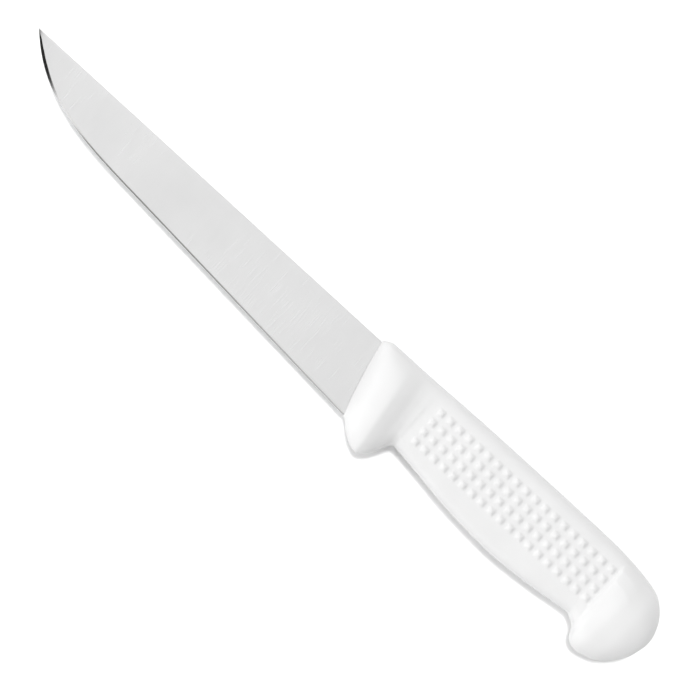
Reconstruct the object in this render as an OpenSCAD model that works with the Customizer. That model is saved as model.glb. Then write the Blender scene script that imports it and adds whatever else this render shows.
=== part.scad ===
// Kitchen knife with a moulded handle.
// It lies on its side. X runs from the tip to the butt, Y from the cutting edge to the spine, and Z up.
// The origin is below the middle of the knife, on the surface that it lies on.

/* [Blade] */
// Length of the cutting edge, from the tip to the heel
blade_length = 170; // [130:1:210]
// Height of the blade at the heel
heel_height = 28; // [25:0.5:32]
// Length of the upswept stretch behind the tip
sweep_length = 70; // [50:1:90]
// Height of the blade where the upsweep ends
sweep_height = 21; // [17:0.5:23]
// Angle between the spine and the edge at the tip, in degrees
tip_angle = 46.8; // [38:0.2:54]
// Thickness of the spine at the handle
spine_thickness = 2.5; // [2:0.1:3]
// Thickness of the spine at the tip
tip_thickness = 1.5; // [1.2:0.1:1.8]
// Thickness to which the sides taper at the heel's edge
edge_thickness = 0.6; // [0.5:0.05:0.9]
// Slope of the sharpened bevel on each side, in degrees
bevel_angle = 16; // [12:0.5:20]
// Width of the flat that is left along the cutting edge
edge_land = 0.06; // [0.04:0.01:0.1]

/* [Tang] */
// Length of the tang behind the shoulder
tang_length = 88; // [60:1:92]
// Height of the tang
tang_height = 14; // [10:0.5:16]
// Length of the tall shoulder inside the bolster
shoulder_length = 9; // [6:0.5:11]
// Diameter of the holes that key the moulding to the tang
key_hole_diameter = 6; // [4:0.5:8]
// Number of keying holes
key_holes = 3; // [1:1:3]

/* [Handle outline] */
// Length of the handle along the spine side
handle_length = 139.7; // [120:0.1:160]
// How far ahead of the heel the handle starts at the spine
nose_lean = 7.2; // [4:0.1:10]
// How far the middle of the handle's front edge bows towards the tip
nose_bow = 0.9; // [0:0.1:1.5]
// How far the handle's front edge stands over the spine and under the heel
nose_rise = 0.4; // [0.3:0.1:0.8]
// Height of the bolster above the spine
bolster_rise = 2.45; // [1.5:0.05:3]
// Height of the handle's back above the spine
back_rise = 3.15; // [2.6:0.05:5]
// How far the finger guard reaches below the heel
guard_drop = 6.8; // [4:0.1:10]
// Depth of the neck behind the guard, below the spine line
neck_depth = 24.15; // [22:0.05:26]
// Depth of the belly of the grip, below the spine line
belly_depth = 29.1; // [27:0.1:32]
// Depth of the waist in front of the hooked butt, below the spine line
waist_depth = 25.9; // [23:0.1:28]
// Depth of the hook at the butt, below the spine line
hook_depth = 33.9; // [30:0.1:38]
// Depth of the butt's hindmost point, below the spine line
butt_depth = 14.7; // [12:0.1:18]

/* [Handle thickness] */
// Thickness of the handle's front edge
nose_width = 5.2; // [4.6:0.1:6]
// Thickness of the bolster at its crest
bolster_width = 20; // [17:0.1:23]
// Thickness of the neck behind the bolster
neck_width = 14.6; // [13:0.1:16]
// Thickness of the grip, across its crowned sides
grip_width = 16.2; // [15:0.1:18]
// Thickness of the butt at its crest
butt_width = 21; // [18:0.1:24]

/* [Grip pattern] */
// Thickness across the two flat panels that carry the pyramids
panel_width = 14.7; // [13.5:0.1:15.2]
// Slope of the wall that each panel ends at, in front of the butt, in degrees
panel_wall_angle = 50; // [40:5:80]
// Number of rows of pyramids on each side
pyramid_rows = 4; // [2:1:4]
// Distance between neighbouring pyramids
pyramid_pitch = 4.45; // [4:0.05:5]
// Width of a pyramid at its foot
pyramid_foot = 3.5; // [2.5:0.05:3.8]
// Width of a pyramid's blunt tip
pyramid_tip = 0.8; // [0.3:0.05:1.2]
// Height of a pyramid above its panel
pyramid_height = 0.7; // [0.4:0.1:1.2]
// Depth of the middle of the pattern, below the spine line
pattern_depth = 11.15; // [10.5:0.05:13]

/* [Hidden] */

// Running gap between the steel and the moulding
fit_gap = 0.05;
// How much thinner each side of the blade is inside the handle, so that the lips lie flush with it
seat_step = 0.05;
// How far ahead of the handle that thinner seat starts
seat_lead = 0.05;
// How deep the thinner seat runs into the handle
seat_depth = 3;
// How far the seat stops short of the heel's edge
seat_rise = 1.5;
// How far the tang and its shoulder stay below the spine line
tang_drop = 3;
// How far past a surface each cut runs
overrun = 1;
// How deep the foot of each pyramid is rooted below its panel
pyramid_root = 0.9;

// Colours of the satin steel and of the moulding
steel_colour = [0.80, 0.80, 0.81];
plastic_colour = [0.94, 0.94, 0.93];

// Reach of the edge curve's two handles, as shares of the upswept length
tip_reach_share = 0.36;
sweep_reach_share = 0.44;
// Number of straight steps in the upswept edge
edge_steps = 24;

// Places of the handle's sections on the spine side and on the edge side, as shares of its length
top_place_shares = [
    0, 0.0072, 0.0272, 0.0587, 0.0923, 0.116, 0.1446, 0.1689, 0.1911, 0.2806, 0.4238, 0.5669,
    0.6958, 0.7745, 0.8175, 0.8497, 0.889, 0.9284, 0.9606, 0.9821, 0.995, 0.9989, 1
];
bottom_place_shares = [
    0.0544, 0.063, 0.0845, 0.111, 0.1331, 0.1518, 0.1739, 0.1875, 0.2004, 0.2806, 0.4238, 0.5583,
    0.6815, 0.7981, 0.8318, 0.8497, 0.8747, 0.9177, 0.9606, 0.9835, 0.995, 0.9989, 1
];
// What each section reaches, as steps from one key size to the next: 2.25 is a quarter of the way
// from key size 2 to key size 3, counted from 0
top_step_shares = [
    0, 0.44, 0.975, 1, 1, 1, 1.03, 1.1, 1.215, 1.645, 1.93, 2,
    2.002, 2.011, 2.031, 2.056, 2.101, 2.176, 2.339, 2.546, 2.77, 2.894, 3
];
bottom_step_shares = [
    0, 0.094, 0.516, 0.859, 1, 1.113, 1.516, 1.901, 2, 2.283, 2.808, 3,
    3.375, 4, 4.35, 4.838, 5, 5.073, 5.302, 5.536, 5.781, 5.896, 6
];
side_step_shares = [
    0, 0.23, 0.622, 0.892, 1, 1.259, 1.759, 1.963, 2, 2.625, 3, 3,
    2.875, 2.81, 3.21, 3.625, 4, 4.01, 4.124, 4.305, 4.571, 4.781, 5
];
square_step_shares = [
    0, 0.32, 0.68, 0.91, 1, 1.1, 1.25, 1.42, 1.6, 2, 2, 2,
    2, 2.11, 2.45, 2.72, 2.94, 3, 3, 3, 3, 3, 3
];
// Squareness of the sections at the nose, the bolster, the grip and the butt: 2 is an ellipse
nose_squareness = 5;
bolster_squareness = 2.8;
grip_squareness = 4;
butt_squareness = 2.2;
// Section at which the bow of the front edge has faded out
bow_end_section = 4;
// Rings between neighbouring sections, and points round each ring
ring_steps = 4;
ring_points = 40;
// Where the flat panels start and end, as shares of the handle's length
panel_start_share = 0.2105;
panel_end_share = 0.8189;

// Half of each thickness, and the places that follow from the driving sizes
spine_half = spine_thickness / 2;
nose_x = blade_length - nose_lean;
heel_depth = heel_height + nose_rise;
guard_depth = heel_height + guard_drop;
overall_length = nose_x + handle_length;
highest = max(back_rise, bolster_rise);
deepest = max(guard_depth, hook_depth, belly_depth);
side_reach = max(bolster_width, butt_width, grip_width, panel_width + 2 * pyramid_height) / 2;

// Slopes of the ground sides: thicker towards the handle, and thinner towards the edge
taper_along = (spine_thickness - tip_thickness) / 2 / nose_x;
taper_down = (spine_thickness - edge_thickness) / 2 / heel_height;

// Slope of the straight edge behind the upsweep
edge_slope = (heel_height - sweep_height) / (blade_length - sweep_length);

top_keys = [nose_rise, bolster_rise, back_rise, -butt_depth];
bottom_keys = [heel_depth, guard_depth, neck_depth, belly_depth, waist_depth, hook_depth, butt_depth];
side_keys = [nose_width, bolster_width, neck_width, grip_width, butt_width, 0] / 2;
square_keys = [nose_squareness, bolster_squareness, grip_squareness, butt_squareness];

// The height at which the tang runs, and how deep its shoulder reaches
tang_middle = -(tang_drop + tang_height / 2);
shoulder_deep = heel_height - 2 * seat_rise;

function mix(a, b, share) = a + (b - a) * share;

// A value part of the way along a list of key sizes
function between(keys, step) =
    let (k = min(floor(step), len(keys) - 2))
    mix(keys[k], keys[k + 1], step - k);

// Slope of a smooth curve through a column of values: level at each peak, so that it never overshoots
function slope(column, i) =
    i == 0 ? column[1] - column[0] :
    i == len(column) - 1 ? column[i] - column[i - 1] :
    let (before = column[i] - column[i - 1], after = column[i + 1] - column[i])
    before * after <= 0 ? 0 : 2 * before * after / (before + after);

// That curve's value at a place between two sections
function along(column, place) =
    let (
        i = min(floor(place), len(column) - 2),
        t = place - i,
        bend = t * t * (3 - 2 * t)
    )
    mix(column[i], column[i + 1], bend)
    + slope(column, i) * t * (1 - t) * (1 - t)
    - slope(column, i + 1) * t * t * (1 - t);

top_places = [for (share = top_place_shares) nose_x + share * handle_length];
bottom_places = [for (share = bottom_place_shares) nose_x + share * handle_length];
top_heights = [for (step = top_step_shares) between(top_keys, step)];
bottom_heights = [for (step = bottom_step_shares) -between(bottom_keys, step)];
side_halves = [for (step = side_step_shares) between(side_keys, step)];
squares = [for (step = square_step_shares) between(square_keys, step)];

// A signed power, which squares off a circle into a rounded section
function soft_power(value, squareness) = sign(value) * pow(abs(value), 2 / squareness);

// One point on the ring at a place along the handle, at an angle round it
function ring_point(place, angle) =
    let (
        top = [along(top_places, place), along(top_heights, place)],
        bottom = [along(bottom_places, place), along(bottom_heights, place)],
        q = soft_power(cos(angle), along(squares, place)),
        side = soft_power(sin(angle), along(squares, place)) * along(side_halves, place),
        bow = nose_bow * max(0, 1 - place / bow_end_section) * (1 - q * q),
        middle = mix(bottom, top, (1 + q) / 2)
    )
    [middle.x - bow, middle.y, side];

// Place along X of the handle's front edge, at a height beside the blade
function nose_at(y) =
    let (
        share = (y + heel_depth) / (nose_rise + heel_depth),
        q = 2 * share - 1
    )
    mix(bottom_places[0], top_places[0], share) - nose_bow * (1 - q * q);

// A point on the cutting edge, from 0 at the tip to 1 where the upsweep ends
function upsweep(t) =
    let (
        tip = [0, 0],
        end = [sweep_length, -sweep_height],
        tip_handle = sweep_length * tip_reach_share * [cos(tip_angle), -sin(tip_angle)],
        end_handle = end - sweep_length * sweep_reach_share * [1, -edge_slope]
    )
    tip * pow(1 - t, 3)
    + tip_handle * 3 * t * pow(1 - t, 2)
    + end_handle * 3 * t * t * (1 - t)
    + end * pow(t, 3);

// Where the shoulder gives way to the tang
shoulder_end = nose_at(-shoulder_deep) + seat_depth + shoulder_length;

heel_point = [nose_at(-heel_height) - seat_lead, -heel_height];
edge_points = concat([for (i = [0 : edge_steps]) upsweep(i / edge_steps)], [heel_point]);

// Moves a piece from the drawing, whose zero is the tip, to the knife's own origin
module in_frame() {
    translate([-overall_length / 2, (deepest - highest) / 2, side_reach])
        children();
}

// Keeps what lies between the two tapered sides of the blade, each set in by a given amount
module between_ground_sides(inset) {
    reach = overall_length;
    lean_y = -atan(taper_along);
    lean_x = atan(taper_down * cos(lean_y));
    intersection() {
        children();
        intersection_for(flip = [0, 1])
            mirror([0, 0, flip])
                translate([nose_x, 0, spine_half - inset])
                    rotate([lean_x, lean_y, 0])
                        translate([-reach, -reach, -reach])
                            cube([2 * reach, 2 * reach, reach]);
    }
}

// Side view of the visible blade
module blade_outline() {
    front_edge = [
        for (i = [0 : edge_steps])
            let (y = -heel_height * i / edge_steps)
            [nose_at(y) - seat_lead, y]
    ];
    upward = [for (i = [len(edge_points) - 2 : -1 : 0]) edge_points[i]];
    polygon(concat(front_edge, upward));
}

// Side view of the part of the blade that the handle's front lips hold
module seat_outline() {
    deep = heel_height - seat_rise;
    front = [
        for (i = [0 : edge_steps])
            let (y = -deep * i / edge_steps)
            [nose_at(y) - seat_lead - seat_step, y]
    ];
    back = [
        for (i = [edge_steps : -1 : 0])
            let (y = -deep * i / edge_steps)
            [nose_at(y) + seat_depth, y]
    ];
    polygon(concat(front, back));
}

// Side view of the shoulder and the tang
module tang_outline() {
    tang_end = shoulder_end + tang_length - tang_height / 2;
    polygon([
        [nose_at(-tang_drop) + seat_depth / 2, -tang_drop],
        [tang_end, -tang_drop],
        [tang_end, -tang_drop - tang_height],
        [shoulder_end, -tang_drop - tang_height],
        [shoulder_end - shoulder_length / 2, -shoulder_deep],
        [nose_at(-shoulder_deep) + seat_depth / 2, -shoulder_deep]
    ]);
    translate([tang_end, tang_middle])
        circle(d = tang_height, $fn = 48);
}

// One cutter for the bevel on the upper side, which follows the cutting edge
module bevel_cutter() {
    count = len(edge_points);
    inward_reach = spine_half / tan(bevel_angle);
    low = edge_land / 2 - overrun * tan(bevel_angle);
    high = edge_land / 2 + inward_reach * tan(bevel_angle);
    sections = [
        for (i = [0 : count - 1])
            let (
                before = edge_points[max(i - 1, 0)],
                after = edge_points[min(i + 1, count - 1)],
                run = (after - before) / norm(after - before),
                inward = [-run.y, run.x],
                past_end = i == 0 ? -overrun : i == count - 1 ? overrun : 0,
                base = edge_points[i] + run * past_end,
                outer = base - inward * overrun,
                inner = base + inward * inward_reach
            )
            each [[outer.x, outer.y, low], [inner.x, inner.y, high], [outer.x, outer.y, high]]
    ];
    walls = [
        for (i = [0 : count - 2], k = [0 : 2])
            let (a = 3 * i + k, b = 3 * i + (k + 1) % 3)
            [b, a, a + 3, b + 3]
    ];
    last = 3 * (count - 1);
    polyhedron(sections, concat([[0, 1, 2]], walls, [[last + 2, last + 1, last]]));
}

// The keying holes' centres, evenly spread along the tang
module at_key_holes() {
    pitch = tang_length / key_holes;
    for (i = [0 : key_holes - 1])
        translate([shoulder_end + (i + 0.5) * pitch, tang_middle, 0])
            children();
}

// The steel: ground blade, seat, shoulder and tang in one piece
module blade() {
    color(steel_colour)
        in_frame()
            difference() {
                union() {
                    between_ground_sides(0)
                        linear_extrude(spine_thickness, center = true)
                            blade_outline();
                    between_ground_sides(seat_step)
                        linear_extrude(spine_thickness, center = true)
                            seat_outline();
                    linear_extrude(spine_thickness, center = true)
                        tang_outline();
                }
                for (flip = [0, 1])
                    mirror([0, 0, flip])
                        bevel_cutter();
                at_key_holes()
                    cylinder(
                        h = spine_thickness + 2 * overrun,
                        d = key_hole_diameter,
                        center = true,
                        $fn = 48
                    );
            }
}

// The moulding without its pattern and cavity: rings joined from the nose to the butt's hindmost point
module handle_body() {
    last_ring = (len(top_places) - 1) * ring_steps - 1;
    half_ring = ring_points / 2;
    points = [
        for (r = [0 : last_ring], j = [0 : ring_points - 1])
            ring_point(r / ring_steps, 360 * j / ring_points)
    ];
    pole = [overall_length, -butt_depth, 0];
    front = [
        for (j = [0 : half_ring - 1])
            let (a = j, b = j + 1, c = ring_points - j - 1, d = (ring_points - j) % ring_points)
            j == 0 ? [a, b, c] : j == half_ring - 1 ? [a, b, d] : [a, b, c, d]
    ];
    walls = [
        for (r = [0 : last_ring - 1], j = [0 : ring_points - 1])
            let (a = r * ring_points + j, b = r * ring_points + (j + 1) % ring_points)
            [a, a + ring_points, b + ring_points, b]
    ];
    end = [
        for (j = [0 : ring_points - 1])
            let (a = last_ring * ring_points + j, b = last_ring * ring_points + (j + 1) % ring_points)
            [a, len(points), b]
    ];
    polyhedron(concat(points, [pole]), concat(front, walls, end));
}

// The space that flattens both sides of the grip, and ends at a sloped wall in front of the butt
module panel_cut() {
    start = nose_x + panel_start_share * handle_length;
    end = nose_x + panel_end_share * handle_length;
    wall_run = side_reach / tan(panel_wall_angle);
    for (flip = [0, 1])
        mirror([0, 0, flip])
            translate([0, highest + overrun, panel_width / 2])
                rotate([90, 0, 0])
                    linear_extrude(deepest + highest + 2 * overrun)
                        polygon([[start, 0], [end, 0], [end + wall_run, side_reach], [start, side_reach]]);
}

// The space that the steel takes up inside the moulding
module steel_cavity() {
    between_ground_sides(seat_step - fit_gap)
        linear_extrude(spine_thickness, center = true)
            offset(delta = fit_gap)
                seat_outline();
    linear_extrude(spine_thickness + 2 * fit_gap, center = true)
        offset(delta = fit_gap)
            tang_outline();
}

// A blunt pyramid, standing on the panel
module pyramid() {
    hull() {
        translate([-pyramid_foot / 2, -pyramid_foot / 2, -pyramid_root])
            cube([pyramid_foot, pyramid_foot, pyramid_root]);
        translate([-pyramid_tip / 2, -pyramid_tip / 2, 0])
            cube([pyramid_tip, pyramid_tip, pyramid_height]);
    }
}

// The grid of pyramids on one side, centred on its panel
module pyramid_grid() {
    length = (panel_end_share - panel_start_share) * handle_length;
    columns = floor((length - pyramid_foot) / pyramid_pitch) + 1;
    middle = nose_x + (panel_start_share + panel_end_share) / 2 * handle_length;
    for (i = [0 : columns - 1], j = [0 : pyramid_rows - 1])
        translate([
            middle + (i - (columns - 1) / 2) * pyramid_pitch,
            -pattern_depth + (j - (pyramid_rows - 1) / 2) * pyramid_pitch,
            panel_width / 2
        ])
            pyramid();
}

// The white moulding, with the plugs that fill the keying holes
module handle() {
    color(plastic_colour)
        in_frame()
            union() {
                difference() {
                    handle_body();
                    panel_cut();
                    steel_cavity();
                }
                for (flip = [0, 1])
                    mirror([0, 0, flip])
                        pyramid_grid();
                at_key_holes()
                    cylinder(
                        h = spine_thickness + 2 * overrun,
                        d = key_hole_diameter - 2 * fit_gap,
                        center = true,
                        $fn = 32
                    );
            }
}

blade();
handle();
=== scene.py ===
# %% [markdown]
# A slim butcher's kitchen knife with a moulded white handle. It lies on its side, seen from straight above.
# The real knife is two pieces: a ground steel blade, whose tang runs back inside the handle, and one plastic
# moulding shot round that tang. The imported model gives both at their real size, so this script only dresses
# them: each is built again with finer surfaces, in the same place, and gets the finish of the real material.
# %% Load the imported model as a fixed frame
import math

import bmesh
import bpy
from mathutils import Matrix, Vector


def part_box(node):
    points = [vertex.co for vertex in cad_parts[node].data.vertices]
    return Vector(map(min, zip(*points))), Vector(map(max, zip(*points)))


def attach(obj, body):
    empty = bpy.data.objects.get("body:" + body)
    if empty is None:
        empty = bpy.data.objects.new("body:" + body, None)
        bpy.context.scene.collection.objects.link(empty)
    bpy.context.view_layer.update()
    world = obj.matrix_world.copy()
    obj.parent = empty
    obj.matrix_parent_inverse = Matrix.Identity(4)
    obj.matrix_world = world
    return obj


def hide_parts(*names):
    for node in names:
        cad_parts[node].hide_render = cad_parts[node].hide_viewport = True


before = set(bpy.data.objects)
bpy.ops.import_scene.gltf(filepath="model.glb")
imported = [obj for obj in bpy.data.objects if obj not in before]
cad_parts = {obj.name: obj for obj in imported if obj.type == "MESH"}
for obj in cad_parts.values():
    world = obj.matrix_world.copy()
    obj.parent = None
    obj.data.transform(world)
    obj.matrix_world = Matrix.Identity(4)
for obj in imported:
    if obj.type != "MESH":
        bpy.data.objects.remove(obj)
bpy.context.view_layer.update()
print("nodes:", sorted(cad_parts))

# %% [markdown]
# The knife is easiest to describe in a drawing of its own, in millimetres: x from the tip to the butt, y up
# from the straight spine, so the cutting edge is at negative y, and z out of the middle plane. One matrix
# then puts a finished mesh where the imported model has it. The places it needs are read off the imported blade
# and handle.
# %% The drawing and its place in the frame
MM = 0.001
blade_low, blade_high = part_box("blade")
handle_low, handle_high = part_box("handle")
drawing_zero = Vector((blade_low.x, blade_high.y, (blade_low.z + blade_high.z) / 2))
DRAWING_TO_FRAME = Matrix.Translation(drawing_zero) @ Matrix.Scale(MM, 4)

KNIFE_LENGTH = (handle_high.x - blade_low.x) / MM
HANDLE_START = (handle_low.x - blade_low.x) / MM
TANG_END = (blade_high.x - blade_low.x) / MM
print("knife in mm:", round(KNIFE_LENGTH, 2), "from the tip to the handle:", round(HANDLE_START, 2))
print("from the tip to the tang's end:", round(TANG_END, 2))

# %% [markdown]
# The photograph looks straight down on the knife, which lies across the frame with its tip at the upper left.
# A long lens far above keeps the outlines undistorted. The camera stands over the middle of the picture and
# is turned about its own axis until the spine runs down to the right at the photographed angle.
# %% Camera
# What the picture shows from side to side, and which place of the drawing is in its middle
PHOTO_WIDTH = 245.0
PHOTO_MIDDLE = Vector((156.4, -9.63, 0))
SPINE_ANGLE = math.radians(42.49)
LENS = 120.0
SENSOR = 36.0


def add_object(name, data):
    """A new object of the scene, at its origin."""
    new_object = bpy.data.objects.new(name, data)
    bpy.context.scene.collection.objects.link(new_object)
    return new_object


camera_data = bpy.data.cameras.new("photo_camera")
camera_data.lens = LENS
camera_data.sensor_width = SENSOR
camera = add_object("photo_camera", camera_data)
camera_height = PHOTO_WIDTH / SENSOR * LENS * MM
camera.location = DRAWING_TO_FRAME @ PHOTO_MIDDLE + Vector((0, 0, camera_height))
camera.rotation_euler = (0, 0, SPINE_ANGLE)
bpy.context.scene.camera = camera
bpy.context.scene.view_settings.view_transform = "Standard"
print("camera height in mm:", round(camera_height / MM))

# %% [markdown]
# Every finish and the studio round the knife are made of nodes. One small helper adds a node, sets its
# properties and joins its inputs, and another turns the colours that people write as hex into the linear
# light that the renderer works in.
# %% Helpers for colours and nodes
def linear_colour(hex_code):
    """An sRGB hex colour as linear red, green, blue and alpha."""
    parts = [int(hex_code[i:i + 2], 16) / 255 for i in (1, 3, 5)]
    return [c / 12.92 if c <= 0.04045 else ((c + 0.055) / 1.055) ** 2.4 for c in parts] + [1.0]


def add_node(tree, kind, inputs=None, **settings):
    """Adds a node. Inputs are values or other nodes' outputs, by the socket's name or number."""
    node = tree.nodes.new(kind)
    for name, value in settings.items():
        setattr(node, name, value)
    for socket, value in (inputs or {}).items():
        if isinstance(value, bpy.types.NodeSocket):
            tree.links.new(value, node.inputs[socket])
        else:
            node.inputs[socket].default_value = value
    return node


print("half grey in linear light:", round(linear_colour("#808080")[0], 3))

# %% [markdown]
# The photograph was made in a white tent, with more light from the tip's side. Steel shows the tent itself,
# so the tent is a dome that has a level for each direction, painted patch over patch. It is bright overhead,
# which gives the blade its even light grey, and dim lower down, so that the blade stays grey from other sides
# too. Four small patches are there for the honed bevel: a dark one for the line along the straight edge, and
# for the tip a black gap in a dim surround with a bright strip beside it. The last patch keeps the background
# pale when the knife is seen from the side.
# %% The dome
UP = Vector((0, 0, 1))
# Levels straight above and to the sides, the slope towards the bright side, and the least before the patches
DOME_TOP = 1.03
DOME_SIDE = 0.33
DOME_SLOPE = 0.75
DOME_LEAST = 0.17


def photo_direction(right, up, tilt):
    """The frame's direction that leans from straight up by tilt degrees, towards the photo's right and up."""
    turned = Matrix.Rotation(SPINE_ANGLE, 3, "Z") @ Vector((right, up, 0)).normalized()
    lean = math.radians(tilt)
    return turned * math.sin(lean) + UP * math.cos(lean)


# The middle of each patch, how many degrees from it the patch is full and has faded out, and its level
OVERHEAD = (photo_direction(0.2, 1.0, 6), 20, 33)
DOME_PATCHES = {
    "left softbox": (photo_direction(-1.0, 0.2, 63), 24, 42, 1.0),
    "near softbox": (photo_direction(-0.6, -0.8, 56), 16, 28, 0.9),
    "dim lower walls": (-UP, 98, 114, 0.15),
    "grey cloth behind the spine": (photo_direction(0.2, 1.0, 58), 5, 34, 0.5),
    "grey cloth beyond the butt": (photo_direction(1.0, 0.0, 72), 5, 34, 0.42),
    "bright strip at the back": (photo_direction(0.675, 0.737, 80), 25, 50, 0.8),
    "line of the straight bevel": (photo_direction(-0.85, -0.53, 39.5), 3, 7.5, 0.08),
    "dim surround of the tip's gap": (photo_direction(-1.0, -0.05, 39), 17, 25, 0.35),
    "gap of the tip's bevel": (photo_direction(-1.0, 0.03, 39), 8.5, 11, 0.02),
    "bright strip beside the gap": (photo_direction(-1.0, -0.29, 35.8), 2, 5.5, 1.15),
    "pale foot of the walls": (-UP, 91, 97, 0.62),
}
BRIGHT_SIDE = photo_direction(-1.0, 0.35, 90)

world = bpy.data.worlds.new("white_tent")
world.use_nodes = True
bpy.context.scene.world = world
sky = world.node_tree
sky.nodes.clear()
look = add_node(sky, "ShaderNodeTexCoord").outputs["Generated"]


def dome_patch(direction, full, faded, outside, inside):
    """The dome's level, which goes softly from one value outside a round patch to another inside it."""
    nearness = add_node(sky, "ShaderNodeVectorMath", {0: look, 1: direction}, operation="DOT_PRODUCT")
    limits = {1: math.cos(math.radians(faded)), 2: math.cos(math.radians(full)), 3: outside, 4: inside}
    return add_node(
        sky, "ShaderNodeMapRange", {0: nearness.outputs["Value"], **limits}, interpolation_type="SMOOTHSTEP"
    ).outputs[0]


# The slope adds light towards the bright side and takes it away on the other, down to the least level
facing = add_node(sky, "ShaderNodeVectorMath", {0: look, 1: BRIGHT_SIDE}, operation="DOT_PRODUCT")
overhead = dome_patch(*OVERHEAD, DOME_SIDE, DOME_TOP)
sloped = add_node(
    sky, "ShaderNodeMath", {0: facing.outputs["Value"], 1: DOME_SLOPE, 2: overhead}, operation="MULTIPLY_ADD"
)
level = add_node(sky, "ShaderNodeMath", {0: sloped.outputs[0], 1: DOME_LEAST}, operation="MAXIMUM").outputs[0]
for direction, full, faded, patch_level in DOME_PATCHES.values():
    level = dome_patch(direction, full, faded, level, patch_level)
background = add_node(sky, "ShaderNodeBackground", {"Color": (1, 1, 1, 1), "Strength": level})
add_node(sky, "ShaderNodeOutputWorld", {"Surface": background.outputs[0]})
print("dome patches:", ", ".join(DOME_PATCHES))

# %% [markdown]
# Most of the light on the plastic and the table comes from three lamps: one nearly straight above, which
# throws the short shadow beside the knife, and two wide ones near the dome's softboxes. A lamp can be kept
# out of mirrored rays, and these are, so the steel shows the dome alone and isn't burnt out from any side.
# %% Lamps
# The direction of each lamp, its strength, and how many degrees wide it looks from the table
LAMPS = {
    "overhead_lamp": (photo_direction(0.22, 1.0, 11.7), 2.05, 7),
    "left_softbox": (photo_direction(-1.0, 0.2, 68), 1.25, 50),
    "near_softbox": (photo_direction(-0.75, -0.66, 66), 0.42, 40),
}
for lamp_name, (direction, strength, width) in LAMPS.items():
    lamp_data = bpy.data.lights.new(lamp_name, "SUN")
    lamp_data.energy = strength
    lamp_data.angle = math.radians(width)
    lamp = add_object(lamp_name, lamp_data)
    lamp.rotation_mode = "QUATERNION"
    lamp.rotation_quaternion = direction.to_track_quat("Z", "Y")
    lamp.visible_glossy = False
print("lamps:", ", ".join(LAMPS))

# %% [markdown]
# The table is a wide sheet of matt white acrylic, one face of it. The light takes it past pure white, as it
# does in such photographs, so that nothing shows on it but the shadows close to the knife.
# %% Table
TABLE_SIDE = 4.0
TABLE_WHITE = "#F4F4F4"
TABLE_ROUGHNESS = 0.8


def new_material(name):
    """A material with an empty node tree."""
    material = bpy.data.materials.new(name)
    material.use_nodes = True
    material.node_tree.nodes.clear()
    return material


bm = bmesh.new()
bmesh.ops.create_grid(bm, x_segments=1, y_segments=1, size=TABLE_SIDE / 2)
table_mesh = bpy.data.meshes.new("light_table")
bm.to_mesh(table_mesh)
bm.free()
table = add_object("light_table", table_mesh)
sheet = new_material("matt white acrylic sheet")
tree = sheet.node_tree
shader = add_node(
    tree, "ShaderNodeBsdfPrincipled", {"Base Color": linear_colour(TABLE_WHITE), "Roughness": TABLE_ROUGHNESS}
)
add_node(tree, "ShaderNodeOutputMaterial", {"Surface": shader.outputs[0]})
table_mesh.materials.append(sheet)
print("table side in m:", TABLE_SIDE)

# %% [markdown]
# Both pieces are long and change their section all the way, so both are lofted: a ring of points is drawn at
# one end and extruded into the next ring, again and again. The first ring and the last have no area, so the
# skin ends there without another face. A section is drawn on one side only, from the knife's back to its
# underside, and its other side is the mirror image.
# %% Helpers for lofting
MERGE_DISTANCE = 0.0005


def whole_ring(side):
    """Adds the mirror image of one side's points, whose first and last lie on the middle plane."""
    return side + [Vector((p.x, p.y, -p.z)) for p in reversed(side[1:-1])]


def loft(rings):
    """A skin over a row of rings, each with as many points as the first; it closes where a ring has no area."""
    bm = bmesh.new()
    ring = bmesh.ops.create_circle(bm, segments=len(rings[0]), radius=1)["verts"]
    for number, places in enumerate(rings):
        if number:
            edges = [bm.edges.get(pair) for pair in zip(ring, ring[1:] + ring[:1])]
            made = set(bmesh.ops.extrude_edge_only(bm, edges=edges)["geom"])
            ring = [next(e.other_vert(v) for e in v.link_edges if e.other_vert(v) in made) for v in ring]
        for vert, place in zip(ring, places):
            vert.co = place
    bmesh.ops.remove_doubles(bm, verts=bm.verts, dist=MERGE_DISTANCE)
    bm.normal_update()
    bmesh.ops.recalc_face_normals(bm, faces=bm.faces)
    return bm


def finish_piece(bm, name, materials):
    """Moves a drawn piece into the frame, smooths it and makes it an object that rides on the knife."""
    bmesh.ops.transform(bm, matrix=DRAWING_TO_FRAME, verts=bm.verts)
    open_edges = sum(not edge.is_manifold for edge in bm.edges)
    for face in bm.faces:
        face.smooth = True
    mesh = bpy.data.meshes.new(name)
    bm.to_mesh(mesh)
    bm.free()
    for material in materials:
        mesh.materials.append(material)
    piece = add_object(name, mesh)
    even = piece.modifiers.new("even_normals", "WEIGHTED_NORMAL")
    even.keep_sharp = True
    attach(piece, "root")
    print(name, "has", len(mesh.polygons), "faces and", open_edges, "open edges")
    return piece


print("points of a loft that lie closer than", MERGE_DISTANCE, "mm become one")

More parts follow.
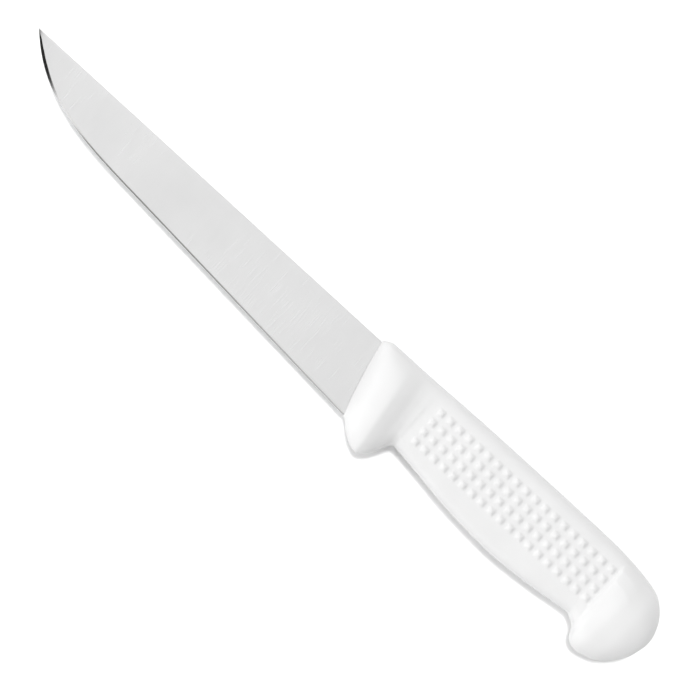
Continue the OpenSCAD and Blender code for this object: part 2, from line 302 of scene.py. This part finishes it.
# %% [markdown]
# The blade is stamped from 2.5 mm sheet, ground flat from the spine to the edge on both sides and a little
# thinner towards the tip. The edge runs straight from the heel and sweeps up to the tip in one curve, which
# is drawn here as a Bezier curve from its two end directions. A last narrow bevel is honed along it.
# %% Outline of the blade
BLADE_LENGTH = 170.0
HEEL_HEIGHT = 28.0
SWEEP_LENGTH = 70.0
SWEEP_HEIGHT = 21.0
TIP_ANGLE = math.radians(46.8)
TIP_REACH = 0.36 * SWEEP_LENGTH
SWEEP_REACH = 0.44 * SWEEP_LENGTH
EDGE_SLOPE = (HEEL_HEIGHT - SWEEP_HEIGHT) / (BLADE_LENGTH - SWEEP_LENGTH)
SWEEP_CURVE = [
    Vector((0, 0)),
    TIP_REACH * Vector((math.cos(TIP_ANGLE), -math.sin(TIP_ANGLE))),
    Vector((SWEEP_LENGTH - SWEEP_REACH, -SWEEP_HEIGHT + EDGE_SLOPE * SWEEP_REACH)),
    Vector((SWEEP_LENGTH, -SWEEP_HEIGHT)),
]


def sweep_at(t):
    """Point on the upswept edge and its direction, from 0 at the tip to 1 where the straight edge starts."""
    a, b, c, d = SWEEP_CURVE
    point = a * (1 - t) ** 3 + b * 3 * t * (1 - t) ** 2 + c * 3 * t * t * (1 - t) + d * t ** 3
    run = (b - a) * (1 - t) ** 2 + (c - b) * 2 * t * (1 - t) + (d - c) * t * t
    return point, run.normalized()


def straight_edge_y(x):
    """Height of the straight edge, which runs on from the sweep to the heel."""
    return -SWEEP_HEIGHT - EDGE_SLOPE * (x - SWEEP_LENGTH)


print("middle of the sweep in mm:", [round(v, 2) for v in sweep_at(0.5)[0]])

# %% [markdown]
# The handle's front edge crosses the blade at a lean and with a slight bow. Both pieces need it: the handle
# starts there, and the steel ends a few millimetres behind it, in a seat that leans the same way.
# %% Where the steel meets the handle
FRONT_TOP = Vector((0.0, 0.4))
FRONT_LOW = Vector((7.6, -28.4))
FRONT_BOW = 0.9
SEAT_DEPTH = 3.0


def front_edge_x(y):
    """Where the handle's front edge lies at a height beside the blade."""
    share = (y - FRONT_LOW.y) / (FRONT_TOP.y - FRONT_LOW.y)
    q = 2 * share - 1
    return HANDLE_START + FRONT_LOW.x + (FRONT_TOP.x - FRONT_LOW.x) * share - FRONT_BOW * (1 - q * q)


print("front edge at the spine and the heel:", round(front_edge_x(0), 2), round(front_edge_x(-HEEL_HEIGHT), 2))

# %% [markdown]
# A section of the blade has two small roundings at the spine and a flat side down to the bevel. A real edge
# is only a few thousandths of a millimetre wide. Here it ends in a narrow land, so that the two sides don't
# touch.
# %% Cross section of the blade
SPINE_HALF = 1.25
TIP_HALF = 0.75
EDGE_HALF = 0.18
LAND_HALF = 0.03
BEVEL_SLOPE = math.tan(math.radians(16))
# The bevel is widest a little behind the tip, where the blade is thick right down to the edge
BEVEL_WIDTHS = [(0, 0.45), (3, 0.8), (7, 1.15), (12, 1.2), (17, 0.95), (24, 0.65), (32, 0.52), (170, 0.52)]
# Where the blade is very low, the bevel takes no more than this share of its height
BEVEL_MOST = 0.34
SPINE_ROUND = 0.18
SPINE_ROUND_STEPS = 3
FACE_STEPS = 9
# Towards the tip the blade thins faster: it starts this far away, and loses this share of the thickness
TIP_FADE = 18.0
TIP_SHARE = 0.8
TAPER_ALONG = (SPINE_HALF - TIP_HALF) / HANDLE_START
TAPER_DOWN = (SPINE_HALF - EDGE_HALF) / HEEL_HEIGHT


def bevel_width(x):
    """Width of the honed bevel, on straight lines between the measured places."""
    for (x0, w0), (x1, w1) in zip(BEVEL_WIDTHS, BEVEL_WIDTHS[1:]):
        if x <= x1:
            return w0 + (w1 - w0) * (x - x0) / (x1 - x0)
    return BEVEL_WIDTHS[-1][1]


def ground_half(x, y):
    """Half of the blade's thickness between its two flat ground sides."""
    return SPINE_HALF + TAPER_ALONG * (x - HANDLE_START) + TAPER_DOWN * y


def blade_section(x, low, run, top=0.0, lean=0.0):
    """Points from the spine's middle down one side to the middle of the cutting edge."""
    depth = top - low
    width = min(bevel_width(x), BEVEL_MOST * depth * run.x)
    shoulder_half = LAND_HALF + BEVEL_SLOPE * width
    width /= run.x
    fade = 1 - TIP_SHARE * max(0.0, 1 - x / TIP_FADE) ** 2
    top_half = max(ground_half(x, 0) * fade, shoulder_half)
    rounding = min(SPINE_ROUND, top_half / 2, depth / 6)
    points = [Vector((x, top, 0))]
    for i in range(SPINE_ROUND_STEPS + 1):
        turn = math.pi / 2 * i / SPINE_ROUND_STEPS
        points.append(Vector((
            x, top - rounding * (1 - math.cos(turn)), top_half - rounding * (1 - math.sin(turn))
        )))
    for i in range(1, FACE_STEPS + 1):
        share = i / FACE_STEPS
        y = (top - rounding) * (1 - share) + (low + width) * share
        points.append(Vector((x, y, top_half * (1 - share) + shoulder_half * share)))
    points.append(Vector((x, low, LAND_HALF)))
    points.append(Vector((x, low, 0)))
    for point in points:
        point.x += lean * (front_edge_x(point.y) - front_edge_x(0))
    return points


thickness = [round(2 * ground_half(HANDLE_START, y), 2) for y in (0, -HEEL_HEIGHT)]
print("thickness of the blade at the handle in mm, from spine to edge:", thickness)

# %% [markdown]
# Inside the moulding the steel goes on: a shoulder as tall as the moulding can cover, and a narrow tang with
# a round end. No view shows it, but the piece stands for the whole of the steel, so it is lofted too.
# %% Blade
# Along the sweep the rings crowd towards the tip, where the edge bends away from the spine
SWEEP_RINGS = 48
SWEEP_CROWDING = 1.4
STRAIGHT_RINGS = 24
SEAT_END = HANDLE_START + SEAT_DEPTH
SHOULDER_BACK = BLADE_LENGTH + 7.3
TANG_START = BLADE_LENGTH + 11.8
TANG_TOP = -3.0
TANG_LOW = -17.0
SHOULDER_LOW = -25.0
TANG_ROUND_STEPS = 8


def tang_section(x, top, low):
    """A flat section of the hidden steel, with as many points as a section of the blade."""
    corners = [Vector((x, top, 0))] + [Vector((x, top, SPINE_HALF))] * (SPINE_ROUND_STEPS + 1)
    side = [
        Vector((x, top + (low - top) * i / FACE_STEPS, SPINE_HALF)) for i in range(1, FACE_STEPS + 1)
    ]
    return corners + side + [Vector((x, low, SPINE_HALF)), Vector((x, low, 0))]


def tang_round(gap=0.0):
    """x, top and low of each section of the tang's round end, or of one a gap outside it."""
    middle = (TANG_TOP + TANG_LOW) / 2
    radius = (TANG_TOP - TANG_LOW) / 2 + gap
    places = []
    for i in range(TANG_ROUND_STEPS + 1):
        turn = math.pi / 2 * i / TANG_ROUND_STEPS
        half = radius * math.cos(turn)
        places.append((TANG_END + gap - radius * (1 - math.sin(turn)), middle + half, middle - half))
    return places


def blade_rings():
    """The blade from its tip back to the seat, then the shoulder and the tang."""
    # The first ring has no height: its points lie on one short line across the very tip, so no face is needed
    # there. Its edges are the open ones that are counted when the piece is finished.
    rings = []
    for i in range(SWEEP_RINGS + 1):
        place, run = sweep_at((i / SWEEP_RINGS) ** SWEEP_CROWDING)
        rings.append(blade_section(place.x, place.y, run))
    straight_run = Vector((1, -EDGE_SLOPE)).normalized()
    for i in range(1, STRAIGHT_RINGS + 1):
        lean = (i / STRAIGHT_RINGS) ** 2
        x = SWEEP_LENGTH + (SEAT_END - SWEEP_LENGTH) * i / STRAIGHT_RINGS
        low_x = x + lean * (front_edge_x(-HEEL_HEIGHT) - front_edge_x(0))
        low = max(straight_edge_y(low_x), -HEEL_HEIGHT)
        rings.append(blade_section(x, low, straight_run, lean=lean))
    rings.append(blade_section(x, low, straight_run, TANG_TOP, lean))
    seat = tang_section(SEAT_END, TANG_TOP, SHOULDER_LOW)
    rings.append([p + Vector((front_edge_x(p.y) - front_edge_x(0), 0, 0)) for p in seat])
    rings.append(tang_section(SHOULDER_BACK, TANG_TOP, SHOULDER_LOW))
    rings.append(tang_section(TANG_START, TANG_TOP, TANG_LOW))
    rings += [tang_section(*place) for place in tang_round()]
    return [whole_ring(side) for side in rings]


blade_mesh = loft(blade_rings())
print("steel volume in cubic mm:", round(blade_mesh.calc_volume(signed=True)))

# %% [markdown]
# The handle is one moulding with a full bolster, a finger guard, a swelling grip and a hooked butt. Its shape
# is given by sections: where each one starts on the back and on the underside, how thick it is, and how
# square. A smooth curve through each column, which never overshoots its peaks, gives every section in
# between.
# %% Sections of the handle
# Back x and y, underside x and y, half thickness, squareness; x from the handle's front edge, y from the spine
HANDLE_SECTIONS = [
    (*FRONT_TOP, *FRONT_LOW, 2.6, 5.0),
    (1.0, 1.3, 8.8, -29.0, 4.3, 4.3),
    (3.8, 2.4, 11.8, -31.7, 7.2, 3.5),
    (8.2, 2.45, 15.5, -33.9, 9.2, 3.0),
    (12.9, 2.45, 18.6, -34.8, 10.0, 2.8),
    (16.2, 2.45, 21.2, -33.6, 9.3, 2.9),
    (20.2, 2.47, 24.3, -29.3, 7.95, 3.1),
    (23.6, 2.52, 26.2, -25.2, 7.4, 3.3),
    (26.7, 2.6, 28.0, -24.15, 7.3, 3.5),
    (39.2, 2.9, 39.2, -25.55, 7.8, 4.0),
    (59.2, 3.1, 59.2, -28.15, 8.1, 4.0),
    (79.2, 3.15, 78.0, -29.1, 8.1, 4.0),
    (97.2, 3.12, 95.2, -27.9, 8.0, 4.0),
    (108.2, 2.95, 111.5, -25.9, 7.95, 3.8),
    (114.2, 2.6, 116.2, -28.7, 8.6, 3.2),
    (118.7, 2.15, 118.7, -32.6, 9.6, 2.7),
    (124.2, 1.35, 122.2, -33.9, 10.5, 2.3),
    (129.7, 0.0, 128.2, -32.5, 10.4, 2.2),
    (134.2, -2.9, 134.2, -28.1, 9.2, 2.2),
    (137.2, -6.6, 137.4, -23.6, 7.3, 2.2),
    (139.0, -10.6, 139.0, -18.9, 4.5, 2.2),
    (139.55, -12.8, 139.55, -16.7, 2.3, 2.2),
    (139.7, -14.7, 139.7, -14.7, 0.0, 2.2),
]
BACK_X, BACK_Y, UNDER_X, UNDER_Y, HALF, SQUARE = (list(column) for column in zip(*HANDLE_SECTIONS))
LAST_PLACE = len(HANDLE_SECTIONS) - 1
HALVINGS = 40


def curve_slope(column, i):
    """Slope of the smooth curve at one section: the harmonic mean of both steps, and level at a peak."""
    if i in (0, LAST_PLACE):
        inner = min(max(i, 1), LAST_PLACE)
        return column[inner] - column[inner - 1]
    before, after = column[i] - column[i - 1], column[i + 1] - column[i]
    return 0.0 if before * after <= 0 else 2 * before * after / (before + after)


def along(column, place):
    """The smooth curve's value at a place between two sections."""
    i = min(int(place), LAST_PLACE - 1)
    t = place - i
    bend = t * t * (3 - 2 * t)
    level = column[i] + (column[i + 1] - column[i]) * bend
    return level + curve_slope(column, i) * t * (1 - t) ** 2 - curve_slope(column, i + 1) * t * t * (1 - t)


def middle_x(place):
    """Where a section's middle lies, between its back and its underside."""
    return HANDLE_START + (along(BACK_X, place) + along(UNDER_X, place)) / 2


def place_at(x):
    """The place whose section has its middle at x, by halving."""
    low, high = 0.0, float(LAST_PLACE)
    for _ in range(HALVINGS):
        middle = (low + high) / 2
        low, high = (middle, high) if middle_x(middle) < x else (low, middle)
    return low


print("handle sections:", len(HANDLE_SECTIONS), "greatest thickness in mm:", 2 * max(HALF))

# %% [markdown]
# Both sides of the grip carry four rows of small blunt pyramids, on a flat panel that ends in a low wall
# before the butt. For the pyramids to grow out of the skin itself, the skin's lines have to run along their
# feet: so along the grip there is a ring at both ends of each column, and a line at both ends of each row.
# %% Panel and pattern
PANEL_HALF = 7.35
PANEL_START = 190.0
PANEL_END = 277.2
# The wall before the butt is steep, and at the other end the panel runs out towards the bolster
PANEL_WALL_SLOPE = math.tan(math.radians(50))
PANEL_LEAD_SLOPE = 0.8
PANEL_SOFTNESS = 0.9
PYRAMID_COLUMNS = 19
PYRAMID_ROWS = 4
PYRAMID_PITCH = 4.45
PYRAMID_FOOT = 3.5
PYRAMID_TIP = 0.8
PYRAMID_HEIGHT = 0.7
PATTERN_X = 234.7
PATTERN_Y = -11.15


def feet_along(middle, count):
    """The two ends of each foot in a row of pyramids."""
    return [
        middle + (i - (count - 1) / 2) * PYRAMID_PITCH + side * PYRAMID_FOOT / 2
        for i in range(count) for side in (-1, 1)
    ]


def soft_least(a, b, softness):
    """The lesser of two heights, with the corner between them rounded off."""
    near = max(softness - abs(a - b), 0) / softness
    return min(a, b) - near * near * softness / 4


def panel_limit(x):
    """How thick the handle may be on one side, where the panel flattens it."""
    wall = PANEL_WALL_SLOPE * max(0.0, x - PANEL_END)
    lead = PANEL_LEAD_SLOPE * max(0.0, PANEL_START - x)
    return PANEL_HALF + wall + lead


COLUMN_LINES = feet_along(PATTERN_X, PYRAMID_COLUMNS)
ROW_LINES = sorted(feet_along(PATTERN_Y, PYRAMID_ROWS), reverse=True)
print("pattern from", round(COLUMN_LINES[0], 2), "to", round(COLUMN_LINES[-1], 2), "mm")
print("lines along the rows at", [round(y, 3) for y in ROW_LINES])

# %% [markdown]
# A section of the handle is a rounded square, a superellipse, cut flat where the panel lies. Its points stand
# at even angles at both ends of the handle, and glide to the lines of the rows between. Where the two halves
# of the mould meet, a seam runs along the back and the underside, a groove a few hundredths of a millimetre
# deep.
# %% Points round the handle
# So many lines lie above the rows, and as many below
MARGIN_LINES = 13
SEAM_HALF = 0.15
SEAM_GROOVE = 0.04
# Where half of the handle's thickness is less than this, the groove gets shallower too
SEAM_FADE = 3.0
# The lines glide to the rows between the first two x, and back between the last two
SPREAD_START = (172.0, 191.0)
SPREAD_END = (279.0, 296.0)
ROW_MARGIN = 0.1
# The bow of the front edge has faded out at this section
BOW_END = 4


def soft_power(value, squareness):
    """The superellipse's power of a cosine or sine, which keeps its sign."""
    return math.copysign(abs(value) ** (2 / squareness), value)


def smooth_share(x, start, end):
    """From 0 at the start to 1 at the end, level at both."""
    t = min(max((x - start) / (end - start), 0), 1)
    return t * t * (3 - 2 * t)


def line_angles(place, square):
    """Angles of the skin's lines on one side: even at both ends of the handle, and along the rows between."""
    inner = 2 * MARGIN_LINES + len(ROW_LINES)
    angles = [math.pi * i / (inner + 1) for i in range(1, inner + 1)]
    x = middle_x(place)
    drawn = smooth_share(x, *SPREAD_START) * (1 - smooth_share(x, *SPREAD_END))
    if drawn:
        top, low = along(BACK_Y, place), along(UNDER_Y, place)
        shares = [2 * (y - low) / (top - low) - 1 for y in ROW_LINES]
        rows = [math.acos(math.copysign(abs(q) ** (square / 2), q)) for q in shares]
        steps = range(1, MARGIN_LINES + 1)
        above = [rows[0] * i / (MARGIN_LINES + 1) for i in steps]
        below = [rows[-1] + (math.pi - rows[-1]) * i / (MARGIN_LINES + 1) for i in steps]
        angles = [a + (b - a) * drawn for a, b in zip(angles, above + rows + below)]
    seam = math.asin(min(1.0, SEAM_HALF / max(along(HALF, place), SEAM_HALF)) ** (square / 2))
    seam = min(seam, angles[0] / 2)
    return [0.0, seam] + angles + [math.pi - seam, math.pi]


def handle_side(place, straight_x=0.0, straight_share=0.0):
    """One side of the handle's section, from back to underside; beside the rows it can be drawn straight."""
    square = along(SQUARE, place)
    top = Vector((HANDLE_START + along(BACK_X, place), along(BACK_Y, place), 0))
    low = Vector((HANDLE_START + along(UNDER_X, place), along(UNDER_Y, place), 0))
    bow = FRONT_BOW * max(0.0, 1 - place / BOW_END)
    groove = SEAM_GROOVE * min(1.0, along(HALF, place) / SEAM_FADE)
    points = []
    angles = line_angles(place, square)
    for number, angle in enumerate(angles):
        q = soft_power(math.cos(angle), square)
        point = low.lerp(top, (1 + q) / 2)
        point.x -= bow * (1 - q * q)
        if ROW_LINES[-1] - ROW_MARGIN < point.y < ROW_LINES[0] + ROW_MARGIN:
            point.x += (straight_x - point.x) * straight_share
        side = soft_power(abs(math.sin(angle)), square) * along(HALF, place)
        point.z = soft_least(side, panel_limit(point.x), PANEL_SOFTNESS)
        if number in (1, len(angles) - 2):
            point.y -= groove if number == 1 else -groove
        points.append(point)
    points[0].z = 0.0
    points[-1].z = 0.0
    return points


print("points on one side of the handle:", len(handle_side(0.0)))

# %% [markdown]
# The moulding closes tightly round the steel. The loft starts deep inside, at the end of the tang's cavity,
# comes forward to the slot that the blade leaves by, turns round the front edge and only then runs back to
# the butt. So the slot is a real opening, and the skin is one closed surface.
# %% Handle
GAP = 0.05
# So square that it is almost a rectangle, and widened a little at its mouth
SLOT_SQUARENESS = 24.0
LIP = 0.06
# Steps from ring to ring: in mm along the panel's wall, elsewhere as shares of the way between two sections
NOSE_STEP = 0.18
WALL_STEP = 0.25
WALL_RINGS = 14
BUTT_STEP = 0.15


def slot_side(place_x, top, low, half_at):
    """One side of the slot or cavity; place_x gives x and half_at the half width at a height."""
    points = []
    for angle in line_angles(0.0, SQUARE[0]):
        q = soft_power(math.cos(angle), SLOT_SQUARENESS)
        y = low + (top - low) * (1 + q) / 2
        side = soft_power(abs(math.sin(angle)), SLOT_SQUARENESS) * half_at(y)
        points.append(Vector((place_x(y), y, side)))
    points[0].z = 0.0
    points[-1].z = 0.0
    return points


def cavity_sides():
    """From the round end of the tang forward to the mouth of the slot."""
    tang_half = SPINE_HALF + GAP
    slot_low = -HEEL_HEIGHT - GAP

    def seat_x(y):
        return front_edge_x(y) + SEAT_DEPTH + GAP

    def slot_half(y):
        return ground_half(front_edge_x(y), y) + GAP

    flat = tang_round(GAP)[::-1]
    flat.append((TANG_START, TANG_TOP + GAP, TANG_LOW - GAP))
    flat.append((SHOULDER_BACK, TANG_TOP + GAP, SHOULDER_LOW - GAP))
    sides = [slot_side(lambda y: x, top, low, lambda y: tang_half) for x, top, low in flat]
    sides.append(slot_side(seat_x, TANG_TOP + GAP, SHOULDER_LOW - GAP, lambda y: tang_half))
    sides.append(slot_side(seat_x, GAP, slot_low, slot_half))
    sides.append(slot_side(lambda y: front_edge_x(y) + LIP, GAP, slot_low, slot_half))
    sides.append(slot_side(front_edge_x, GAP + LIP, slot_low - LIP, lambda y: slot_half(y) + LIP))
    return sides


def handle_rings():
    """The cavity, the nose up to the pattern, the pattern, the panel's wall and the butt."""
    sides = cavity_sides()
    grip_place = place_at(COLUMN_LINES[0])
    nose_rings = round(grip_place / NOSE_STEP)
    sides += [handle_side(grip_place * i / nose_rings) for i in range(nose_rings)]
    sides += [handle_side(place_at(x), x, 1.0) for x in COLUMN_LINES]
    for i in range(1, WALL_RINGS):
        x = COLUMN_LINES[-1] + i * WALL_STEP
        sides.append(handle_side(place_at(x), x, 1 - i / WALL_RINGS))
    wall_place = place_at(COLUMN_LINES[-1] + WALL_RINGS * WALL_STEP)
    butt_rings = round((LAST_PLACE - wall_place) / BUTT_STEP)
    for i in range(butt_rings + 1):
        sides.append(handle_side(wall_place + (LAST_PLACE - wall_place) * i / butt_rings))
    return [whole_ring(side) for side in sides]


handle_mesh = loft(handle_rings())
print("moulding volume in cubic mm:", round(handle_mesh.calc_volume(signed=True)))

# %% [markdown]
# With the skin's lines in place, each foot is one four-sided face. It is divided into a small grid, whose
# points are then lifted to the shape of a blunt pyramid with soft edges, as plastic has where it has flowed
# into the pits of a blasted steel mould.
# %% Pyramids
FOOT_CUTS = 7
CORNER_SQUARENESS = 5.0
# The share of a pyramid's slope that is rounded off, at the foot and again at the tip
PYRAMID_ROUNDING = 0.25
# A foot lies this far out, and its middle strays from the pitch by no more than this share of it
FOOT_LEAST_HALF = 0.9 * PANEL_HALF
FOOT_TOLERANCE = 0.05


def is_on_pitch(value, middle, count):
    """True where a value is the middle of one of a row of pyramids."""
    number = (value - middle) / PYRAMID_PITCH + (count - 1) / 2
    return 0 <= round(number) < count and abs(number - round(number)) < FOOT_TOLERANCE


def is_foot(face):
    """True for the four-sided faces under the pyramids, on both sides of the grip."""
    middle = face.calc_center_median()
    if len(face.verts) != 4 or abs(middle.z) < FOOT_LEAST_HALF:
        return False
    on_column = is_on_pitch(middle.x, PATTERN_X, PYRAMID_COLUMNS)
    return on_column and is_on_pitch(middle.y, PATTERN_Y, PYRAMID_ROWS)


def pyramid_rise(across, along_grip):
    """How high a pyramid stands at two places from -1 to 1: a square hill with its foot and tip rounded."""
    out = (abs(across) ** CORNER_SQUARENESS + abs(along_grip) ** CORNER_SQUARENESS) ** (1 / CORNER_SQUARENESS)
    share = min(max((1 - out) / (1 - PYRAMID_TIP / PYRAMID_FOOT), 0.0), 1.0)
    from_end = min(share, 1 - share)
    bend = min(from_end, PYRAMID_ROUNDING)
    risen = (bend * bend / (2 * PYRAMID_ROUNDING) + from_end - bend) / (1 - PYRAMID_ROUNDING)
    return PYRAMID_HEIGHT * (risen if share < 0.5 else 1 - risen)


def nearest_middle(value, middle, count):
    """The middle of the row or column of pyramids that lies nearest."""
    first = middle - (count - 1) / 2 * PYRAMID_PITCH
    return first + round((value - first) / PYRAMID_PITCH) * PYRAMID_PITCH


feet = [face for face in handle_mesh.faces if is_foot(face)]
foot_edges = list(dict.fromkeys(edge for face in feet for edge in face.edges))
parts = bmesh.ops.subdivide_edges(handle_mesh, edges=foot_edges, cuts=FOOT_CUTS, use_grid_fill=True)
grid = {part for part in parts["geom_inner"] if isinstance(part, bmesh.types.BMVert)}
for vert in grid:
    u = (vert.co.x - nearest_middle(vert.co.x, PATTERN_X, PYRAMID_COLUMNS)) / (PYRAMID_FOOT / 2)
    v = (vert.co.y - nearest_middle(vert.co.y, PATTERN_Y, PYRAMID_ROWS)) / (PYRAMID_FOOT / 2)
    vert.co.z += math.copysign(pyramid_rise(u, v), vert.co.z)
print("pyramids on both sides:", len(feet), "points lifted:", len(grid))

# %% [markdown]
# The ground sides of the blade are stainless steel with a satin finish: a fine belt leaves hairline scratches
# from the spine to the edge, too fine to count, which blur what the steel mirrors. So noise that is stretched
# along the scratches varies the roughness and gives a slight bump, and a broad noise keeps the sheen from
# being even. Steel is a full metal, so its colour is the colour of its reflection, a neutral light grey.
# %% Satin-ground stainless steel
# Belt scratches are about 0.05 mm apart; they are drawn 0.2 mm apart, since finer ones wouldn't show
SCRATCH_SPACING = 0.2
SCRATCH_LENGTH = 9.0
SCRATCH_DEPTH = 0.02
SCRATCH_BUMP = 0.025
CLOUD_SIZE = 30.0
CLOUD_SHIFT = 0.02
SATIN_ROUGHNESS = {3: 0.27, 4: 0.36}
SATIN_GREYS = {6: linear_colour("#E6E6E6"), 7: linear_colour("#ECECEC")}
# Noise seldom leaves this span, so it is spread from here to whatever it controls
NOISE_SPAN = {1: 0.3, 2: 0.7}


def per_metre(size):
    """How often a pattern of this size in millimetres fits in a metre, which is the scale of a noise."""
    return 1 / (size * MM)


satin_steel = new_material("satin-ground stainless steel")
tree = satin_steel.node_tree
place = add_node(tree, "ShaderNodeTexCoord").outputs["Object"]
stretch = (per_metre(SCRATCH_SPACING), per_metre(SCRATCH_LENGTH), per_metre(SCRATCH_LENGTH))
stretched = add_node(tree, "ShaderNodeMapping", {"Vector": place, "Scale": stretch})
scratches = add_node(
    tree, "ShaderNodeTexNoise", {"Vector": stretched.outputs[0], "Scale": 1.0, "Detail": 3.0, "Roughness": 0.6}
)
clouds = add_node(tree, "ShaderNodeTexNoise", {"Vector": place, "Scale": per_metre(CLOUD_SIZE), "Detail": 2.0})
scratch_tone = add_node(tree, "ShaderNodeMapRange", {0: scratches.outputs[0], **NOISE_SPAN, **SATIN_ROUGHNESS})
cloud_tone = add_node(
    tree, "ShaderNodeMapRange", {0: clouds.outputs[0], **NOISE_SPAN, 3: -CLOUD_SHIFT, 4: CLOUD_SHIFT}
)
roughness = add_node(tree, "ShaderNodeMath", {0: scratch_tone.outputs[0], 1: cloud_tone.outputs[0]})
colour = add_node(tree, "ShaderNodeMix", {0: scratches.outputs[0], **SATIN_GREYS}, data_type="RGBA")
bump = add_node(
    tree, "ShaderNodeBump",
    {"Height": scratches.outputs[0], "Strength": SCRATCH_BUMP, "Distance": SCRATCH_DEPTH * MM},
)
shader = add_node(
    tree, "ShaderNodeBsdfPrincipled",
    {"Base Color": colour.outputs[2], "Metallic": 1.0, "Roughness": roughness.outputs[0],
     "Normal": bump.outputs[0]},
)
add_node(tree, "ShaderNodeOutputMaterial", {"Surface": shader.outputs[0]})
print(satin_steel.name, "has", len(tree.nodes), "nodes")

# %% [markdown]
# The bevel is honed on a fine stone after grinding. It is smoother than the sides, so it mirrors crisply: a
# dark line where it sees the gap in the tent, and a flash of white beside it.
# %% Honed stainless steel
HONE_SPACING = 0.12
HONED_ROUGHNESS = {3: 0.09, 4: 0.14}
HONED_GREY = "#E0E0E0"

honed_steel = new_material("honed stainless steel")
tree = honed_steel.node_tree
place = add_node(tree, "ShaderNodeTexCoord").outputs["Object"]
hone_marks = add_node(
    tree, "ShaderNodeTexNoise", {"Vector": place, "Scale": per_metre(HONE_SPACING), "Detail": 2.0}
)
hone_tone = add_node(tree, "ShaderNodeMapRange", {0: hone_marks.outputs[0], **NOISE_SPAN, **HONED_ROUGHNESS})
shader = add_node(
    tree, "ShaderNodeBsdfPrincipled",
    {"Base Color": linear_colour(HONED_GREY), "Metallic": 1.0, "Roughness": hone_tone.outputs[0]},
)
add_node(tree, "ShaderNodeOutputMaterial", {"Surface": shader.outputs[0]})
print(honed_steel.name, "has", len(tree.nodes), "nodes")

# %% [markdown]
# The handle is injection-moulded polypropylene, filled white. The mould is blasted, which prints a very fine
# grain into the skin and leaves a soft sheen instead of a gloss, and the thick parts sink a little as they
# cool. Both are bumps, since they are far too small to be modelled. The white is a light grey in numbers:
# under lamps that take the table past white, it comes out as white as in the photograph and keeps its
# shading.
# %% Moulded white polypropylene
# The blasted grain is about 0.1 mm across; it is drawn 0.3 mm across so that it shows close up
GRAIN_SIZE = 0.3
GRAIN_DEPTH = 0.03
GRAIN_BUMP = 0.12
SINK_SIZE = 12.0
SINK_DEPTH = 0.15
SINK_BUMP = 0.3
PLASTIC_IOR = 1.49
PLASTIC_ROUGHNESS = {3: 0.36, 4: 0.46}
PLASTIC_WHITES = {6: linear_colour("#CDCDCD"), 7: linear_colour("#D0D0D0")}

white_plastic = new_material("moulded white polypropylene")
tree = white_plastic.node_tree
place = add_node(tree, "ShaderNodeTexCoord").outputs["Object"]
grain = add_node(tree, "ShaderNodeTexNoise", {"Vector": place, "Scale": per_metre(GRAIN_SIZE), "Detail": 2.0})
sink = add_node(tree, "ShaderNodeTexNoise", {"Vector": place, "Scale": per_metre(SINK_SIZE), "Detail": 1.0})
tone = add_node(tree, "ShaderNodeMapRange", {0: sink.outputs[0], **NOISE_SPAN})
colour = add_node(tree, "ShaderNodeMix", {0: tone.outputs[0], **PLASTIC_WHITES}, data_type="RGBA")
sheen = add_node(tree, "ShaderNodeMapRange", {0: grain.outputs[0], **NOISE_SPAN, **PLASTIC_ROUGHNESS})
sink_bump = add_node(
    tree, "ShaderNodeBump", {"Height": sink.outputs[0], "Strength": SINK_BUMP, "Distance": SINK_DEPTH * MM}
)
grain_bump = add_node(
    tree, "ShaderNodeBump",
    {"Height": grain.outputs[0], "Strength": GRAIN_BUMP, "Distance": GRAIN_DEPTH * MM,
     "Normal": sink_bump.outputs[0]},
)
shader = add_node(
    tree, "ShaderNodeBsdfPrincipled",
    {"Base Color": colour.outputs[2], "Roughness": sheen.outputs[0], "IOR": PLASTIC_IOR,
     "Normal": grain_bump.outputs[0]},
)
add_node(tree, "ShaderNodeOutputMaterial", {"Surface": shader.outputs[0]})
print(white_plastic.name, "has", len(tree.nodes), "nodes")

# %% [markdown]
# What is left is to say which faces are honed, and to keep the line between them and the ground sides sharp.
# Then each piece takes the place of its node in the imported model.
# %% Finish the two pieces
# The land's points lie within this of the middle, and a bevel's normal leans to the side by more than this
LAND_LIMIT = LAND_HALF * 1.01
BEVEL_LEAST_NORMAL = 0.5


def is_bevel(face):
    """True for the faces that touch the cutting edge and turn to one side, in front of the hidden tang."""
    touches_edge = any(abs(v.co.z) < LAND_LIMIT for v in face.verts)
    turns_aside = abs(face.normal.z) > BEVEL_LEAST_NORMAL
    return touches_edge and turns_aside and face.calc_center_median().x < SHOULDER_BACK


for face in blade_mesh.faces:
    face.material_index = 1 if is_bevel(face) else 0
for edge in blade_mesh.edges:
    edge.smooth = len({face.material_index for face in edge.link_faces}) == 1

blade = finish_piece(blade_mesh, "ground_blade", [satin_steel, honed_steel])
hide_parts("blade")

handle = finish_piece(handle_mesh, "moulded_handle", [white_plastic])
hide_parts("handle")

# %% [markdown]
# Dressing the knife must not change its size. Last, the scene is brought up to date.
# %% Finish
bpy.context.view_layer.update()
